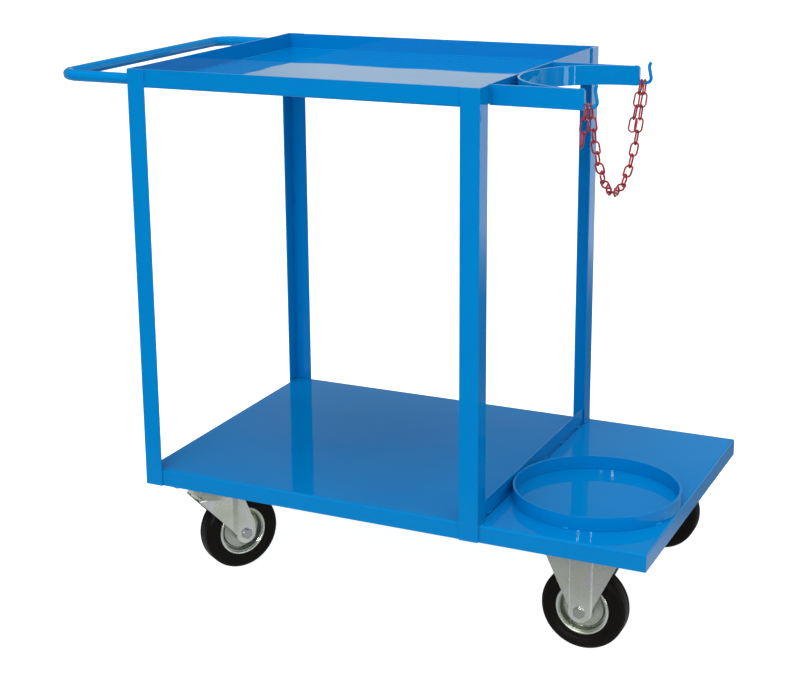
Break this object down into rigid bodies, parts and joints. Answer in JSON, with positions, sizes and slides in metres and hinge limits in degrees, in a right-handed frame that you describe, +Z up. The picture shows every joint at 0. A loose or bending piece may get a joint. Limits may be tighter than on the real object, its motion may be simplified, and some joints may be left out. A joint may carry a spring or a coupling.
{
  "type": "gas welding cart",
  "caption": "Two-level angle-iron cart with push handle, top tray, deck, swivel and fixed castors, and an end platform where a ring, hoop and chain hold a gas cylinder.",
  "frame": {"origin": "on the floor, in the middle of the overall length and of the overall width", "axes": "+X from the push handle to the cylinder platform, -Y is the front, +Z is up"},
  "size_m": [1.13, 0.6, 0.9739],
  "materials": {
    "blue_paint": "gloss",
    "red_chain": "gloss",
    "zinc_steel": "satin",
    "bright_steel": "polished",
    "black_rubber": "matte"
  },
  "bodies": {
    "cart": {"front_left_upright": "blue_paint", "front_right_upright": "blue_paint", "rear_left_upright": "blue_paint", "rear_right_upright": "blue_paint", "top_tray": "blue_paint", "main_deck": "blue_paint", "cylinder_platform": "blue_paint", "stop_bar": "blue_paint", "left_castor_channel": "blue_paint", "right_castor_channel": "blue_paint", "push_handle": "blue_paint", "cylinder_ring": "blue_paint", "retaining_hoop": "blue_paint", "front_hoop_arm": "blue_paint", "rear_hoop_arm": "blue_paint", "front_chain_hook": "blue_paint", "rear_chain_hook": "blue_paint", "castor_bolts": "zinc_steel", "castor_nuts": "zinc_steel", "kingpin_nuts": "zinc_steel", "front_left_top_plate": "zinc_steel", "front_left_kingpin": "bright_steel", "front_left_balls": "bright_steel", "rear_left_top_plate": "zinc_steel", "rear_left_kingpin": "bright_steel", "rear_left_balls": "bright_steel", "front_right_fork": "zinc_steel", "front_right_axle_bolt": "zinc_steel", "front_right_axle_nut": "zinc_steel", "front_right_bush": "bright_steel", "rear_right_fork": "zinc_steel", "rear_right_axle_bolt": "zinc_steel", "rear_right_axle_nut": "zinc_steel", "rear_right_bush": "bright_steel"},
    "chain_strand_body": {"chain_strand": "red_chain"},
    "front_chain_tail_body": {"front_chain_tail": "red_chain"},
    "rear_chain_tail_body": {"rear_chain_tail": "red_chain"},
    "front_left_swivel": {"front_left_fork": "zinc_steel", "front_left_axle_bolt": "zinc_steel", "front_left_axle_nut": "zinc_steel", "front_left_bush": "bright_steel"},
    "front_left_wheel": {"front_left_rollers": "bright_steel", "front_left_rim": "zinc_steel", "front_left_tyre": "black_rubber"},
    "rear_left_swivel": {"rear_left_fork": "zinc_steel", "rear_left_axle_bolt": "zinc_steel", "rear_left_axle_nut": "zinc_steel", "rear_left_bush": "bright_steel"},
    "rear_left_wheel": {"rear_left_rollers": "bright_steel", "rear_left_rim": "zinc_steel", "rear_left_tyre": "black_rubber"},
    "front_right_wheel": {"front_right_rollers": "bright_steel", "front_right_rim": "zinc_steel", "front_right_tyre": "black_rubber"},
    "rear_right_wheel": {"rear_right_rollers": "bright_steel", "rear_right_rim": "zinc_steel", "rear_right_tyre": "black_rubber"}
  },
  "joints": [
    {"name": "front_left_turn", "type": "hinge", "parent": "cart", "child": "front_left_swivel", "pos_m": [-0.297, -0.23, 0.185], "axis": [0, 0, 1], "continuous": true},
    {"name": "front_left_roll", "type": "hinge", "parent": "front_left_swivel", "child": "front_left_wheel", "pos_m": [-0.26977, -0.18807, 0.075], "axis": [-0.8387, 0.5446, 0], "continuous": true},
    {"name": "rear_left_turn", "type": "hinge", "parent": "cart", "child": "rear_left_swivel", "pos_m": [-0.297, 0.23, 0.185], "axis": [0, 0, 1], "continuous": true},
    {"name": "rear_left_roll", "type": "hinge", "parent": "rear_left_swivel", "child": "rear_left_wheel", "pos_m": [-0.25001, 0.2471, 0.075], "axis": [-0.342, 0.9397, 0], "continuous": true},
    {"name": "front_right_roll", "type": "hinge", "parent": "cart", "child": "front_right_wheel", "pos_m": [0.442, -0.23, 0.075], "axis": [0, 1, 0], "continuous": true},
    {"name": "rear_right_roll", "type": "hinge", "parent": "cart", "child": "rear_right_wheel", "pos_m": [0.442, 0.23, 0.075], "axis": [0, 1, 0], "continuous": true},
    {"name": "strand_swing", "type": "hinge", "parent": "cart", "child": "chain_strand_body", "pos_m": [0.43675, -0.1, 0.94141], "axis": [0, -1, 0], "range_deg": [-1, 55]},
    {"name": "front_tail_swing", "type": "hinge", "parent": "cart", "child": "front_chain_tail_body", "pos_m": [0.43105, -0.248, 0.937], "axis": [-1, 0, 0], "range_deg": [-4, 80]},
    {"name": "rear_tail_swing", "type": "hinge", "parent": "cart", "child": "rear_chain_tail_body", "pos_m": [0.43105, 0.048, 0.937], "axis": [1, 0, 0], "range_deg": [-4, 80]}
  ]
}
